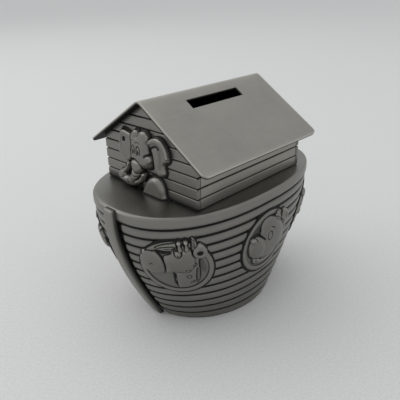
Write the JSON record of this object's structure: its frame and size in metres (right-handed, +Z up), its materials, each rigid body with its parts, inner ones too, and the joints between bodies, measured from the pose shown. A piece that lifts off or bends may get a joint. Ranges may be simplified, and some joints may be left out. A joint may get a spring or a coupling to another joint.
{
  "type": "money box",
  "caption": "Ark-shaped metal money box with a boarded hull and cabin, gabled roof with a coin slot, animal portholes and a rubber bung underneath.",
  "frame": {"origin": "on the surface it stands on, under the middle of the ark", "axes": "+X from the bow to the stern, +Y to the port side, +Z up; the coin slot is on the starboard (-Y) slope of the roof"},
  "size_m": [0.127, 0.0858, 0.1113],
  "materials": {
    "dark_pewter": "satin",
    "bright_pewter": "satin",
    "relief_pewter": "satin",
    "black_rubber": "matte"
  },
  "bodies": {
    "ark": {"base_plate": "dark_pewter", "bow_stem": "dark_pewter", "cabin_front_gable": "dark_pewter", "cabin_port_wall": "dark_pewter", "cabin_rear_gable": "dark_pewter", "cabin_starboard_wall": "dark_pewter", "deck": "dark_pewter", "elephant": "relief_pewter", "giraffe_port": "relief_pewter", "giraffe_starboard": "relief_pewter", "hippo_port": "relief_pewter", "hippo_starboard": "relief_pewter", "hull_port": "dark_pewter", "hull_starboard": "dark_pewter", "lion_port": "relief_pewter", "lion_starboard": "relief_pewter", "ring_aft_port": "bright_pewter", "ring_aft_starboard": "bright_pewter", "ring_fore_port": "bright_pewter", "ring_fore_starboard": "bright_pewter", "ring_mid_port": "bright_pewter", "ring_mid_starboard": "bright_pewter", "roof": "bright_pewter", "stern_post": "dark_pewter"},
    "bung": {"coin_bung": "black_rubber"}
  },
  "joints": [
    {"name": "bung_pull", "type": "slide", "parent": "ark", "child": "bung", "axis": [0, 0, -1], "range_m": [0, 0.03]}
  ]
}
